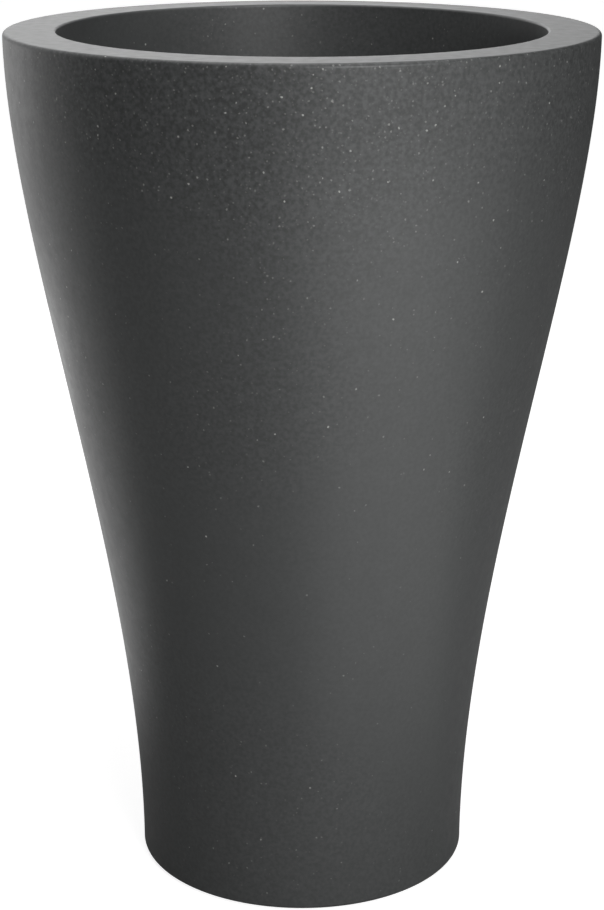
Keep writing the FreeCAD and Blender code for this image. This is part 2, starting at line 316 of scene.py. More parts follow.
class StageSettings(bpy.types.PropertyGroup):
    """Camera, lamps and backdrop."""

    lens: FloatProperty(name="Lens", description="Focal length on a 36 mm frame", default=84.76,
                        subtype="DISTANCE_CAMERA")
    distance: FloatProperty(name="Distance", description="Camera distance along the floor",
                            default=2.1907, unit="LENGTH")
    camera_height: FloatProperty(name="Camera height", description="Camera height above the floor",
                                 default=1.1274, unit="LENGTH")
    pitch: FloatProperty(name="Pitch", description="Downward tilt of the camera",
                         default=math.radians(17.207), subtype="ANGLE")
    ambient: FloatProperty(name="Ambient", description="Light of the room on matt surfaces",
                           default=0.01)
    floor_size: FloatProperty(name="Floor size", description="Side of the floor",
                              default=40.0, unit="LENGTH")
    floor_paint: FloatVectorProperty(name="Floor paint", description="Colour of the floor under the lamps",
                                     subtype="COLOR", size=4, default=(0.46, 0.46, 0.46, 1.0))
    floor_white: FloatProperty(name="Floor white",
                               description="White of the floor by the planter, without lamps",
                               default=0.88)
    # Painted shade: round the planter the floor is dark in reflections, and the dark ends over a share of
    # that radius
    painted_shade_radius: FloatProperty(name="Shade radius",
                                description="Floor round the planter that is dark in gloss",
                                default=0.5, unit="LENGTH")
    painted_shade_blur: FloatProperty(name="Shade blur",
                              description="Share of that radius over which the dark ends",
                              default=0.3, subtype="FACTOR")
    white_radius: FloatProperty(name="White radius",
                                description="Distance at which the floor is fully white",
                                default=2.5, unit="LENGTH")
    lamp_target: FloatProperty(name="Lamp target", description="Height that the lamps point at",
                               default=0.5, unit="LENGTH")


def start_fresh():
    """Leaves edit mode and clears the selection, so that operators act on the new piece alone."""
    if bpy.context.mode != "OBJECT":
        bpy.ops.object.mode_set(mode="OBJECT")
    bpy.ops.object.select_all(action="DESELECT")


def make_active(piece):
    """Selects one piece alone and makes it the one that operators act on."""
    start_fresh()
    piece.select_set(True)
    bpy.context.view_layer.objects.active = piece


def rename(piece, name):
    """Names a piece and its mesh."""
    piece.name = name
    piece.data.name = name


def edit_all(piece):
    """Opens a piece for editing with its whole mesh selected."""
    make_active(piece)
    bpy.ops.object.mode_set(mode="EDIT")
    bpy.ops.mesh.select_all(action="SELECT")


def close_skin():
    """Merges the doubled points of the mesh in edit mode, turns its faces outwards and leaves edit mode."""
    bpy.ops.mesh.select_all(action="SELECT")
    bpy.ops.mesh.remove_doubles(threshold=MERGE)
    bpy.ops.mesh.normals_make_consistent(inside=False)
    bpy.ops.object.mode_set(mode="OBJECT")


def rounded(corners):
    """The outline through (radius, height, rounding) corners, each rounding drawn as an arc."""
    count = len(corners)
    points = [Vector((radius, 0.0, height)) for radius, height, _ in corners]
    outline = []
    for index, (_, _, rounding) in enumerate(corners):
        corner = points[index]
        if rounding == 0 or index in (0, count - 1):
            outline.append(corner)
            continue
        back = (points[index - 1] - corner).normalized()
        ahead = (points[index + 1] - corner).normalized()
        half = back.angle(ahead) / 2
        reach = rounding / math.tan(half)
        centre = corner + (back + ahead).normalized() * (rounding / math.sin(half))
        start = (corner + back * reach - centre).normalized()
        end = (corner + ahead * reach - centre).normalized()
        outline.append(corner + back * (reach + HOLD))
        for step in range(CORNER_STEPS + 1):
            outline.append(centre + start.slerp(end, step / CORNER_STEPS) * rounding)
        outline.append(corner + ahead * (reach + HOLD))
    return outline


def draw_outline(name, outline):
    """A new object at the origin that holds one chain of edges through the outline."""
    start_fresh()
    bpy.ops.mesh.primitive_plane_add(size=HOLD)
    piece = bpy.context.object
    rename(piece, name)
    bpy.ops.object.mode_set(mode="EDIT")
    bpy.ops.mesh.select_mode(type="VERT")
    bpy.ops.mesh.merge(type="CENTER")
    bpy.ops.transform.translate(value=outline[0])
    for previous, point in zip(outline, outline[1:]):
        bpy.ops.mesh.extrude_region_move(TRANSFORM_OT_translate={"value": point - previous})
    return piece


def turned(name, corners, segments):
    """Turns an outline of rounded corners about the Z axis into a closed skin with its faces outwards."""
    piece = draw_outline(name, rounded(corners))
    bpy.ops.mesh.select_all(action="SELECT")
    bpy.ops.mesh.spin(steps=segments, angle=FULL_TURN, center=(0, 0, 0), axis=(0, 0, 1))
    close_skin()
    return piece


def rod(name, radius, start, end, steps):
    """A straight round bar from start to end, both on a line along Y or Z."""
    start_fresh()
    along = Vector(end) - Vector(start)
    turn = (QUARTER_TURN, 0, 0) if abs(along.y) > abs(along.z) else (0, 0, 0)
    bpy.ops.mesh.primitive_cylinder_add(vertices=steps, radius=radius, depth=along.length,
                                        location=(Vector(start) + Vector(end)) / 2, rotation=turn)
    piece = bpy.context.object
    piece.name = name
    bpy.ops.object.transform_apply(location=True, rotation=True, scale=True)
    return piece


def apply_modifier(piece, kind, **settings):
    """Adds a modifier to a piece and applies it at once."""
    make_active(piece)
    modifier = piece.modifiers.new(kind.lower(), kind)
    for name, value in settings.items():
        setattr(modifier, name, value)
    bpy.ops.object.modifier_apply(modifier=modifier.name)


def combine(piece, tool, operation):
    """Joins a tool to a piece, cuts it away or keeps what both share, and removes the tool."""
    apply_modifier(piece, "BOOLEAN", object=tool, operation=operation, solver="EXACT")
    bpy.data.objects.remove(tool)


def soften(piece, width):
    """Rounds the sharp edges of a piece."""
    apply_modifier(piece, "BEVEL", width=width, segments=BEVEL_STEPS, limit_method="ANGLE",
                   angle_limit=BEVEL_ANGLE)


def ring_places(circle, count):
    """Evenly spaced places on a circle about the Z axis."""
    angles = [FULL_TURN * index / count for index in range(count)]
    return [Vector((circle * math.cos(angle), circle * math.sin(angle), 0)) for angle in angles]


def repeat_at(piece, places):
    """Moves a piece's mesh to the first place and copies it to the others, all in the same object."""
    edit_all(piece)
    bpy.ops.transform.translate(value=places[0])
    for previous, place in zip(places, places[1:]):
        bpy.ops.mesh.duplicate_move(TRANSFORM_OT_translate={"value": place - previous})
    bpy.ops.object.mode_set(mode="OBJECT")


def turn_half(piece, keep_first):
    """Turns a piece's mesh by half a turn about the Z axis, or a copy of it where the first one is kept."""
    edit_all(piece)
    if keep_first:
        bpy.ops.mesh.duplicate()
    bpy.ops.transform.rotate(value=HALF_TURN, orient_axis="Z", center_override=(0, 0, 0))
    bpy.ops.object.mode_set(mode="OBJECT")


def smooth(piece):
    """Smooth shading that keeps the sharp corners sharp."""
    make_active(piece)
    bpy.ops.object.shade_smooth_by_angle(angle=SHARP_ANGLE)


def fit_to_frame(piece, material, body, node):
    """Gives a finished piece its finish and its body, and hides the construction node that it stands for."""
    smooth(piece)
    piece.data.materials.clear()
    piece.data.materials.append(material)
    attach(piece, body)
    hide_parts(node)


def ogee_pole_heights(sizes):
    """Heights of the four poles of the vase's ogee."""
    start = sizes.foot + sizes.foot_edge
    end = sizes.height - sizes.rim_edge
    return start, start + sizes.waist_rise, end - sizes.shoulder_drop, end


def ogee_point(sizes, share):
    """(radius, height) at a share of the way from the base to the rim, on a cubic curve."""
    weights = ((1 - share) ** 3, 3 * share * (1 - share) ** 2, 3 * share ** 2 * (1 - share), share ** 3)
    radii = (sizes.base_radius, sizes.base_radius, sizes.rim_radius, sizes.rim_radius)
    heights = ogee_pole_heights(sizes)
    return (sum(weight * radius for weight, radius in zip(weights, radii)),
            sum(weight * height for weight, height in zip(weights, heights)))


def ogee_share(sizes, height):
    """The share of the way at which the ogee reaches a height, found by halving."""
    low, high = 0.0, 1.0
    while high - low > MERGE:
        middle = (low + high) / 2
        if ogee_point(sizes, middle)[1] < height:
            low = middle
        else:
            high = middle
    return (low + high) / 2


def vase_corners(sizes):
    """Section of the vase, from the drain hole out, up the outside to the rim ring and back down inside."""
    mid_under = sizes.foot + sizes.floor_lift
    mid_floor = mid_under + sizes.floor
    ring_floor = sizes.foot + sizes.floor
    ring_inner = sizes.base_radius - sizes.foot_ring
    low = ogee_share(sizes, ring_floor + sizes.heel)
    top = ogee_share(sizes, sizes.height - sizes.wall)
    steps = sizes.ogee_steps
    outside = [ogee_point(sizes, top * step / steps) for step in range(1, steps + 1)]
    inside = [ogee_point(sizes, top + (low - top) * step / steps) for step in range(steps + 1)]

    corners = [(sizes.drain_hole, mid_under, 0),
               (ring_inner - sizes.floor_lift, mid_under, sizes.soft_edge),
               (ring_inner, sizes.foot, sizes.soft_edge),
               (sizes.base_radius, sizes.foot, sizes.foot_edge)]
    corners += [(radius, height, 0) for radius, height in outside]
    corners += [(radius - sizes.wall, height, 0) for radius, height in inside]
    corners += [(inside[-1][0] - sizes.wall, ring_floor, sizes.heel),
                (ring_inner, ring_floor, 0),
                (ring_inner - sizes.floor_lift, mid_floor, 0),
                (sizes.drain_hole, mid_floor, 0),
                (sizes.drain_hole, mid_under, 0)]
    return corners


def rim_corners(sizes):
    """Section of the rim ring: flat rim, collar inside the mouth and the ledge for the pot."""
    lip = sizes.rim_radius - sizes.rim_width
    under = sizes.height - sizes.wall
    ledge = sizes.height - sizes.collar_depth
    collar_foot = lip - sizes.collar_depth * math.tan(sizes.collar_draft)
    ledge_hole = collar_foot - sizes.ledge_width
    return [(sizes.rim_radius, under, 0),
            (sizes.rim_radius, sizes.height, sizes.rim_edge),
            (lip, sizes.height, sizes.lip_edge),
            (collar_foot, ledge, 0),
            (ledge_hole, ledge, sizes.soft_edge),
            (ledge_hole, ledge - sizes.wall, sizes.soft_edge),
            (collar_foot + sizes.wall, ledge - sizes.wall, sizes.soft_edge),
            (lip + sizes.wall, under, 0),
            (sizes.rim_radius, under, 0)]


def glide_corners(glides, grow=0.0):
    """Section of one glide about its own middle, grown all round for its recess."""
    edge = 0 if grow else glides.edge
    low = GLIDES_LOW.z - grow
    return [(0, low, 0),
            (glides.radius + grow, low, edge),
            (glides.radius + grow, GLIDES_HIGH.z, 0),
            (0, GLIDES_HIGH.z, 0)]


def pot_wall_radius(pot, height):
    """Outside radius of the pot's tapering wall at a height."""
    ledge = POT_HIGH.z - pot.flange
    share = (height - POT_LOW.z) / (ledge - POT_LOW.z)
    return pot.foot_radius + (pot.neck_radius - pot.foot_radius) * share


def pot_corners(pot):
    """Section of the pot, from the middle of its underside up the outside and down the inside."""
    under = POT_LOW.z
    top = POT_HIGH.z
    floor = under + pot.floor
    return [(0, under, 0),
            (pot_wall_radius(pot, under), under, pot.foot_edge),
            (pot.neck_radius, top - pot.flange, pot.flange_edge),
            (POT_HIGH.x, top - pot.flange, pot.flange_edge / 2),
            (POT_HIGH.x, top, pot.flange_edge),
            (pot_wall_radius(pot, top) - pot.wall, top, pot.flange_edge),
            (pot_wall_radius(pot, floor) - pot.wall, floor, pot.heel),
            (0, floor, 0)]


def pot_core_corners(pot):
    """The pot's outside as a full body, drawn in to the middle of the wall, to trim the ears."""
    inset = pot.wall / 2
    return [(0, POT_LOW.z, 0),
            (pot_wall_radius(pot, POT_LOW.z) - inset, POT_LOW.z, 0),
            (pot_wall_radius(pot, POT_HIGH.z) - inset, POT_HIGH.z, 0),
            (0, POT_HIGH.z, 0)]


def pivot_place(handle):
    """Place of the right handle's pivot line, from the handle's box."""
    return Vector(((HANDLE_LOW.x + HANDLE_HIGH.x) / 2, 0, HANDLE_HIGH.z - handle.eye_radius))


def ear_far_face(pot, handle):
    """Distance of an ear's far face from the middle of its handle."""
    return handle.span / 2 + handle.bar_radius + handle.ear_gap + pot.ear_thickness


def pot_ear(pot, handle, side):
    """One ear of the right handle: a boss round the pivot with an arm that reaches past the pot's wall."""
    pivot = pivot_place(handle)
    far = ear_far_face(pot, handle)
    start = Vector((pivot.x, side * (far - pot.ear_thickness), pivot.z))
    end = Vector((pivot.x, side * far, pivot.z))
    ear = rod("ear", pot.ear_radius, start, end, pot.ear_steps)
    bpy.ops.object.mode_set(mode="EDIT")
    bpy.ops.mesh.select_mode(type="VERT")
    bpy.ops.mesh.select_all(action="DESELECT")
    bpy.ops.object.mode_set(mode="OBJECT")
    for point in ear.data.vertices:
        point.select = point.co.x > pivot.x + MERGE
    bpy.ops.object.mode_set(mode="EDIT")
    bpy.ops.transform.resize(value=(0, 1, 1), center_override=(pot.neck_radius, 0, 0))
    bpy.ops.object.mode_set(mode="OBJECT")
    soften(ear, pot.ear_edge)
    return ear


def handle_bar(handle):
    """The bent bar of the right handle, hanging straight down from its two pivots."""
    pivot = pivot_place(handle)
    half = handle.span / 2
    grip = HANDLE_LOW.z + handle.bar_radius
    arm = pivot.z - grip - handle.bend
    straight = handle.span - 2 * handle.bend
    start_fresh()
    bpy.ops.mesh.primitive_circle_add(vertices=handle.bar_steps, radius=handle.bar_radius, fill_type="NGON",
                                      location=(pivot.x, -half, pivot.z))
    bar = bpy.context.object
    bpy.ops.object.transform_apply(location=True, rotation=True, scale=True)
    bpy.ops.object.mode_set(mode="EDIT")
    bpy.ops.mesh.select_mode(type="FACE")
    bpy.ops.mesh.select_all(action="SELECT")
    bpy.ops.mesh.extrude_region_move(TRANSFORM_OT_translate={"value": (0, 0, -arm)})
    bpy.ops.mesh.spin(steps=handle.bend_steps, angle=QUARTER_TURN, axis=(1, 0, 0),
                      center=(pivot.x, handle.bend - half, grip + handle.bend))
    bpy.ops.mesh.extrude_region_move(TRANSFORM_OT_translate={"value": (0, straight, 0)})
    bpy.ops.mesh.spin(steps=handle.bend_steps, angle=QUARTER_TURN, axis=(1, 0, 0),
                      center=(pivot.x, half - handle.bend, grip + handle.bend))
    bpy.ops.mesh.extrude_region_move(TRANSFORM_OT_translate={"value": (0, 0, arm)})
    close_skin()
    return bar


def new_material(name):
    """A new material with its tree of nodes and its shader."""
    material = bpy.data.materials.new(name)
    material.use_nodes = True
    return material, material.node_tree, material.node_tree.nodes["Principled BSDF"]


def add_node(tree, kind, inputs=None, **settings):
    """A node with its settings and its input values, or links where an input is a socket."""
    node = tree.nodes.new(kind)
    for name, value in settings.items():
        setattr(node, name, value)
    for name, value in (inputs or {}).items():
        if isinstance(value, bpy.types.NodeSocket):
            tree.links.new(value, node.inputs[name])
        else:
            node.inputs[name].default_value = value
    return node


def remapped(tree, value, source, result, smoothly=False):
    """A value moved from one range of numbers to another, and kept inside it."""
    node = add_node(tree, "ShaderNodeMapRange",
                    {"Value": value, "From Min": source[0], "From Max": source[1],
                     "To Min": result[0], "To Max": result[1]},
                    interpolation_type="SMOOTHSTEP" if smoothly else "LINEAR")
    return node.outputs["Result"]


def worked_out(tree, operation, *values):
    """The result of a math operation on numbers or sockets."""
    node = add_node(tree, "ShaderNodeMath", dict(enumerate(values)), operation=operation)
    return node.outputs["Value"]


def product(tree, first, second):
    """Two values multiplied."""
    return worked_out(tree, "MULTIPLY", first, second)


def vector_node(tree, operation, *values):
    """A vector operation on vectors or sockets."""
    return add_node(tree, "ShaderNodeVectorMath", dict(enumerate(values)), operation=operation)


def levelled(tree, place):
    """A place or direction with its height taken away."""
    return vector_node(tree, "MULTIPLY", place, (1.0, 1.0, 0.0)).outputs["Vector"]


def noise(tree, place, size, detail=2.0):
    """Soft noise with blotches of about a size in metres."""
    node = add_node(tree, "ShaderNodeTexNoise", {"Vector": place, "Scale": 1 / size, "Detail": detail})
    return node.outputs["Fac"]


def mixed(tree, share, first, second):
    """A colour between two colours."""
    node = tree.nodes.new("ShaderNodeMix")
    node.data_type = "RGBA"
    sockets = [socket for socket in node.inputs if socket.type == "RGBA"]
    tree.links.new(share, node.inputs["Factor"])
    for socket, colour in zip(sockets, (first, second)):
        if isinstance(colour, bpy.types.NodeSocket):
            tree.links.new(colour, socket)
        else:
            socket.default_value = colour
    return [socket for socket in node.outputs if socket.type == "RGBA"][0]


def shaded(colour, factor):
    """A colour made lighter or darker by a factor."""
    return (colour[0] * factor, colour[1] * factor, colour[2] * factor, 1.0)


# The useful range of a noise texture
NOISE_RANGE = (0.3, 0.7)

# Share of a grain's radius that is fully pale
GRAIN_CORE = 0.4

# Layers of grains: spacing and size in metres, share shown where they are densest, weakest and full strength
GRAIN_LAYERS = {
    "dust": (0.0042, 0.0023, 0.7, 0.1, 0.16),
    "small": (0.0052, 0.0026, 0.5, 0.2, 0.34),
    "large": (0.0085, 0.0028, 0.35, 0.3, 0.95),
}

# Size and length of the pushes that make the grains less round
RUFFLE_SIZE = 0.002
RUFFLE_PUSH = 0.0012

# Noise at the edges of a patch of dense grains, and the share of the grains outside and inside it
PATCH_NOISE = (0.40, 0.60)
PATCH_SHARES = (0.30, 1.1)

# Distance over which the grains end at the flat rim
GRAINS_FADE = 0.001

# The mottle of the stone goes further to the dark than to the light
MOTTLE_RANGE = (-1.25, 0.75)

# Colour of the stone's clouds, as a share of the body colour
CLOUD_DARK = 0.5


def grains(tree, place, spacing, size, density, weakest):
    """Strength of a layer of round grains of a size, in cells of a spacing, of which a share is shown."""
    cells = add_node(tree, "ShaderNodeTexVoronoi", {"Vector": place, "Scale": 1 / spacing})
    radius = size / 2 / spacing
    disc = remapped(tree, cells.outputs["Distance"], (radius, radius * GRAIN_CORE), (0.0, 1.0), True)
    chance = add_node(tree, "ShaderNodeSeparateColor", {"Color": cells.outputs["Color"]})
    picked = worked_out(tree, "LESS_THAN", chance.outputs["Red"], density)
    strength = remapped(tree, chance.outputs["Green"], (0.0, 1.0), (weakest, 1.0))
    return product(tree, product(tree, disc, picked), strength)


def ruffled(tree, place):
    """A place pushed about a little, so that the grains on it aren't quite round."""
    push = add_node(tree, "ShaderNodeTexNoise", {"Vector": place, "Scale": 1 / RUFFLE_SIZE, "Detail": 0.0})
    reach = (RUFFLE_PUSH, RUFFLE_PUSH, RUFFLE_PUSH)
    return vector_node(tree, "MULTIPLY_ADD", push.outputs["Color"], reach, place).outputs["Vector"]


def grain_patches(tree, place, finish):
    """Share of the grains in and between soft patches."""
    patches = add_node(tree, "ShaderNodeTexNoise",
                       {"Vector": place, "W": finish.patch_seed,
                        "Scale": 1 / finish.patch_size, "Detail": 0.0},
                       noise_dimensions="4D")
    return remapped(tree, patches.outputs["Fac"], PATCH_NOISE, PATCH_SHARES)


def grain_density(tree, place, finish, plain_band):
    """Share of the grains that is shown: most near the rim, few inside and none in a band of radii."""
    height = add_node(tree, "ShaderNodeSeparateXYZ", {"Vector": place}).outputs["Z"]
    share = remapped(tree, height, (0.0, finish.grains_full), (0.0, 1.0))
    rise = worked_out(tree, "POWER", share, finish.grains_rise)
    least = worked_out(tree, "MAXIMUM", rise, finish.grains_low)
    patchy = grain_patches(tree, place, finish)
    radius = vector_node(tree, "LENGTH", levelled(tree, place)).outputs["Value"]
    inner, outer = plain_band
    inside = remapped(tree, radius, (inner, inner + GRAINS_FADE), (finish.grains_inside, 0.0))
    outside = remapped(tree, radius, (outer - GRAINS_FADE, outer), (0.0, 1.0))
    return product(tree, product(tree, least, patchy), worked_out(tree, "ADD", inside, outside))


def stone_colour(tree, place, finish, density):
    """Charcoal with a mottle that follows the grains, dark clouds and the layers of pale grains."""
    depth = worked_out(tree, "SQRT", density)
    mottle = remapped(tree, noise(tree, place, finish.mottle_size, detail=1.0), NOISE_RANGE, MOTTLE_RANGE)
    spread = remapped(tree, product(tree, mottle, depth), (-1.0, 1.0), (0.0, 1.0))
    dark = shaded(finish.body, 1 - finish.mottle_depth)
    light = shaded(finish.body, 1 + finish.mottle_depth)
    colour = mixed(tree, spread, dark, light)
    cloud = remapped(tree, noise(tree, place, finish.cloud_size, detail=4.0), NOISE_RANGE,
                     (0.0, finish.cloud_share))
    colour = mixed(tree, cloud, colour, shaded(finish.body, CLOUD_DARK))
    loose = ruffled(tree, place)
    for spacing, size, shown, weakest, strength in GRAIN_LAYERS.values():
        layer = grains(tree, loose, spacing, size, product(tree, density, shown), weakest)
        colour = mixed(tree, product(tree, layer, strength), colour, finish.speck)
    return colour


def stone_material(name, finish, plain_band=(0.0, 0.0)):
    """Charcoal moulding, mottled and with pale grains of several sizes, under a fine satin skin."""
    material, tree, shader = new_material(name)
    place = add_node(tree, "ShaderNodeTexCoord").outputs["Object"]
    density = grain_density(tree, place, finish, plain_band)
    tree.links.new(stone_colour(tree, place, finish, density), shader.inputs["Base Color"])
    sheen = remapped(tree, noise(tree, place, finish.sheen_size, detail=3.0), NOISE_RANGE,
                     (finish.roughness - finish.sheen_spread, finish.roughness + finish.sheen_spread))
    tree.links.new(sheen, shader.inputs["Roughness"])
    shader.inputs["Specular IOR Level"].default_value = finish.gloss
    bump = add_node(tree, "ShaderNodeBump", {"Height": noise(tree, place, finish.skin_size, detail=3.0),
                                             "Strength": finish.skin_strength,
                                             "Distance": finish.skin_depth})
    tree.links.new(bump.outputs["Normal"], shader.inputs["Normal"])
    return material


# Cloudy tint of the moulded pieces: its size in metres, and its share of the colour up and down
TINT_SIZE = 0.02
TINT_DEPTH = 0.15

# Faint scuffs: size in metres, squeeze of the noise along Z, noise of a scuff, its share and its paleness
SCUFF_SIZE = 0.008
SCUFF_SQUEEZE = (1.0, 1.0, 9.0)
SCUFF_NOISE = (0.62, 0.75)
SCUFF_SHARE = 0.35
SCUFF_PALE = 1.9

# Change of the roughness up and down, how clearly the moulded grain shows, and its depth for its size
DULL_SPREAD = 0.05
GRAIN_STRENGTH = 0.25
GRAIN_DEPTH = 0.25


def moulded_material(name, slot, roughness, gloss, grain):
    """Plastic or rubber in the colour of its slot, with a cloudy tint, a fine grain and faint scuffs."""
    material, tree, shader = new_material(name)
    colour = next(entry["base_color"] for entry in frame["record"]["materials"] if entry["slot"] == slot)
    place = add_node(tree, "ShaderNodeTexCoord").outputs["Object"]
    cloud = remapped(tree, noise(tree, place, TINT_SIZE, detail=4.0), NOISE_RANGE, (0.0, 1.0))
    tint = mixed(tree, cloud, shaded(colour, 1 - TINT_DEPTH), shaded(colour, 1 + TINT_DEPTH))
    squeezed = add_node(tree, "ShaderNodeMapping", {"Vector": place, "Scale": SCUFF_SQUEEZE})
    scuff = remapped(tree, noise(tree, squeezed.outputs["Vector"], SCUFF_SIZE, detail=6.0), SCUFF_NOISE,
                     (0.0, SCUFF_SHARE))
    tree.links.new(mixed(tree, scuff, tint, shaded(colour, SCUFF_PALE)), shader.inputs["Base Color"])
    dull = remapped(tree, cloud, (0.0, 1.0), (roughness - DULL_SPREAD, roughness + DULL_SPREAD))
    tree.links.new(dull, shader.inputs["Roughness"])
    shader.inputs["Specular IOR Level"].default_value = gloss
    bump = add_node(tree, "ShaderNodeBump", {"Height": noise(tree, place, grain),
                                             "Strength": GRAIN_STRENGTH,
                                             "Distance": grain * GRAIN_DEPTH})
    tree.links.new(bump.outputs["Normal"], shader.inputs["Normal"])
    return material


class PLANTER_OT_vase(bpy.types.Operator):
    """Model the vase with its foot ring and glide recesses, in the stone-effect skin"""

    bl_idname = "planter.vase"
    bl_label = "Vase"

    def execute(self, context):
        sizes = context.scene.planter_vase
        glides = context.scene.planter_glides
        vase = turned("vase", vase_corners(sizes), sizes.segments)
        recesses = turned("recesses", glide_corners(glides, sizes.recess_gap), glides.segments)
        repeat_at(recesses, ring_places(glides.circle, glides.count))
        combine(vase, recesses, "DIFFERENCE")
        stone = stone_material("vase_finish", context.scene.planter_stone)
        fit_to_frame(vase, stone, "planter", "planter_shell")
        return {"FINISHED"}


class PLANTER_OT_rim(bpy.types.Operator):
    """Model the rim ring with its collar and ledge, with no grains on the flat rim"""

    bl_idname = "planter.rim"
    bl_label = "Rim"

    def execute(self, context):
        sizes = context.scene.planter_vase
        rim = turned("rim", rim_corners(sizes), sizes.segments)
        flat_rim = (sizes.rim_radius - sizes.rim_width, sizes.rim_radius - sizes.rim_edge / 2)
        stone = stone_material("rim_finish", context.scene.planter_stone, flat_rim)
        fit_to_frame(rim, stone, "planter", "rim_collar")
        return {"FINISHED"}


class PLANTER_OT_glides(bpy.types.Operator):
    """Model the rubber glides under the foot ring"""

    bl_idname = "planter.glides"
    bl_label = "Glides"

    def execute(self, context):
        glides = context.scene.planter_glides
        piece = turned("glides", glide_corners(glides), glides.segments)
        repeat_at(piece, ring_places(glides.circle, glides.count))
        rubber = moulded_material("glide_rubber_finish", "glide_rubber",
                                  roughness=0.8, gloss=0.3, grain=0.0006)
        fit_to_frame(piece, rubber, "planter", "floor_glides")
        return {"FINISHED"}


class PLANTER_OT_drain_bush(bpy.types.Operator):
    """Model the bush in the floor of the vase"""

    bl_idname = "planter.drain_bush"
    bl_label = "Drain bush"

    def execute(self, context):
        drain = context.scene.planter_drain
        seat = BUSH_HIGH.z - drain.flange
        bush = turned("bush", [(drain.bore, BUSH_LOW.z, 0),
                               (drain.bush_radius, BUSH_LOW.z, drain.bush_edge),
                               (drain.bush_radius, seat, 0),
                               (BUSH_HIGH.x, seat, 0),
                               (BUSH_HIGH.x, BUSH_HIGH.z, drain.bush_edge),
                               (drain.bore, BUSH_HIGH.z, drain.bush_edge / 2),
                               (drain.bore, BUSH_LOW.z, 0)], drain.segments)
        plastic = moulded_material("bush_finish", "drain_bush_plastic",
                                   roughness=0.45, gloss=0.45, grain=0.0008)
        fit_to_frame(bush, plastic, "planter", "drain_bush")
        return {"FINISHED"}


class PLANTER_OT_plug_seal(bpy.types.Operator):
    """Model the washer under the head of the drain plug"""

    bl_idname = "planter.plug_seal"
    bl_label = "Plug seal"

    def execute(self, context):
        drain = context.scene.planter_drain
        middle = (SEAL_LOW.z + SEAL_HIGH.z) / 2
        seal = turned("seal", [(drain.seal_bore, middle, 0),
                               (drain.seal_bore, SEAL_LOW.z, drain.seal_edge),
                               (SEAL_HIGH.x, SEAL_LOW.z, drain.seal_edge),
                               (SEAL_HIGH.x, SEAL_HIGH.z, drain.seal_edge),
                               (drain.seal_bore, SEAL_HIGH.z, drain.seal_edge),
                               (drain.seal_bore, middle, 0)], drain.segments)
        rubber = moulded_material("seal_rubber_finish", "seal_rubber",
                                  roughness=0.75, gloss=0.3, grain=0.0005)
        fit_to_frame(seal, rubber, "plug_seal", "plug_seal")
        return {"FINISHED"}


class PLANTER_OT_drain_plug(bpy.types.Operator):
    """Model the screw plug with its finger grip"""

    bl_idname = "planter.drain_plug"
    bl_label = "Drain plug"

    def execute(self, context):
        drain = context.scene.planter_drain
        head_under = SEAL_HIGH.z
        head_top = head_under + drain.head
        plug = turned("plug", [(0, PLUG_LOW.z, 0),
                               (drain.shank, PLUG_LOW.z, drain.plug_edge),
                               (drain.shank, head_under, 0),
                               (PLUG_HIGH.x, head_under, 0),
                               (PLUG_HIGH.x, head_top, drain.plug_edge),
                               (0, head_top, 0)], drain.segments)
        length = 2 * (PLUG_HIGH.x - drain.grip_end)
        bottom = head_top - SINK
        start_fresh()
        bpy.ops.mesh.primitive_cube_add(size=1, location=(0, 0, (bottom + PLUG_HIGH.z) / 2),
                                        scale=(length, drain.grip_width, PLUG_HIGH.z - bottom))
        grip = context.object
        bpy.ops.object.transform_apply(location=True, rotation=True, scale=True)
        soften(grip, drain.plug_edge)
        combine(plug, grip, "UNION")
        plastic = moulded_material("plug_finish", "drain_plug_plastic",
                                   roughness=0.45, gloss=0.45, grain=0.0008)
        fit_to_frame(plug, plastic, "drain_plug", "drain_plug")
        return {"FINISHED"}


class PLANTER_OT_inner_pot(bpy.types.Operator):
    """Model the lift-out pot with its flange, drain holes and handle ears"""

    bl_idname = "planter.inner_pot"
    bl_label = "Inner pot"

    def execute(self, context):
        sizes = context.scene.planter_pot
        handle = context.scene.planter_handles
        pot = turned("pot", pot_corners(sizes), sizes.segments)
        ears = pot_ear(sizes, handle, 1)
        combine(ears, pot_ear(sizes, handle, -1), "UNION")
        turn_half(ears, keep_first=True)
        combine(ears, turned("pot_core", pot_core_corners(sizes), sizes.segments), "INTERSECT")
        combine(pot, ears, "UNION")
        pivot = pivot_place(handle)
        reach = ear_far_face(sizes, handle) + SINK
        for x in (pivot.x, -pivot.x):
            bore = rod("bore", sizes.pivot_bore, (x, -reach, pivot.z), (x, reach, pivot.z), sizes.hole_steps)
            combine(pot, bore, "DIFFERENCE")
        below = (0, 0, POT_LOW.z - SINK)
        above = (0, 0, POT_LOW.z + sizes.floor + SINK)
        holes = rod("holes", sizes.hole_radius, below, above, sizes.hole_steps)
        repeat_at(holes, ring_places(sizes.hole_circle, sizes.hole_count))
        combine(pot, holes, "DIFFERENCE")
        plastic = moulded_material("pot_finish", "inner_pot_plastic",
                                   roughness=0.55, gloss=0.4, grain=0.001)
        fit_to_frame(pot, plastic, "inner_pot", "inner_pot")
        return {"FINISHED"}


